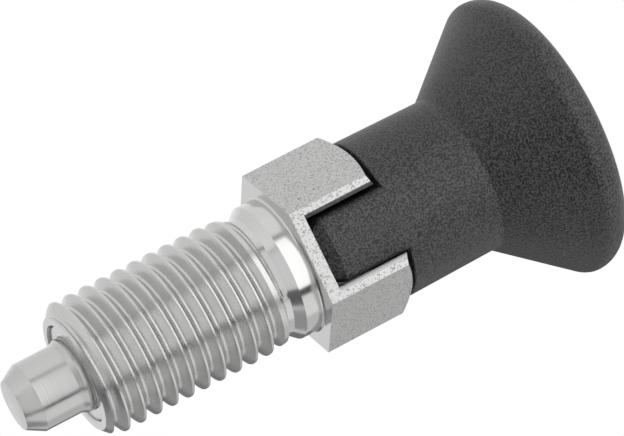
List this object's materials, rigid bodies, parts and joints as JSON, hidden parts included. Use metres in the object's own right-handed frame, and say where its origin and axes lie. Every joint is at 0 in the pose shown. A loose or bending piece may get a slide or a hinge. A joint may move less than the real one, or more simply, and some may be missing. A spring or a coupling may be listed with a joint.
{
  "type": "indexing plunger",
  "caption": "Spring-loaded indexing plunger: steel sleeve with fine thread and slotted hexagon, sliding index pin, mushroom grip whose tongue sits in the slot.",
  "frame": {"origin": "on the axis, in the plane of the hexagon's underside, which seats on the plate", "axes": "+Z along the axis from the index pin to the grip; the hexagon's slotted flats face +Y and -Y"},
  "size_m": [0.025, 0.025, 0.0517],
  "materials": {
    "sleeve_steel": "turned stainless steel, hexagon flats blasted",
    "bush_steel": "turned stainless steel",
    "pin_steel": "ground stainless steel",
    "spring_wire": "drawn stainless spring wire",
    "grip_plastic": "black-grey moulded thermoplastic with a fine grain"
  },
  "bodies": {
    "sleeve": {"threaded_sleeve": "sleeve_steel", "guide_bush": "bush_steel", "compression_spring": "spring_wire"},
    "plunger": {"index_pin": "pin_steel", "mushroom_grip": "grip_plastic"}
  },
  "joints": [
    {"name": "pin_pull", "type": "slide", "parent": "sleeve", "child": "plunger", "axis": [0, 0, 1], "range_m": [0, 0.0072], "stiffness_N_per_m": 823, "springref_m": -0.00875, "deforming": ["compression_spring"]}
  ]
}
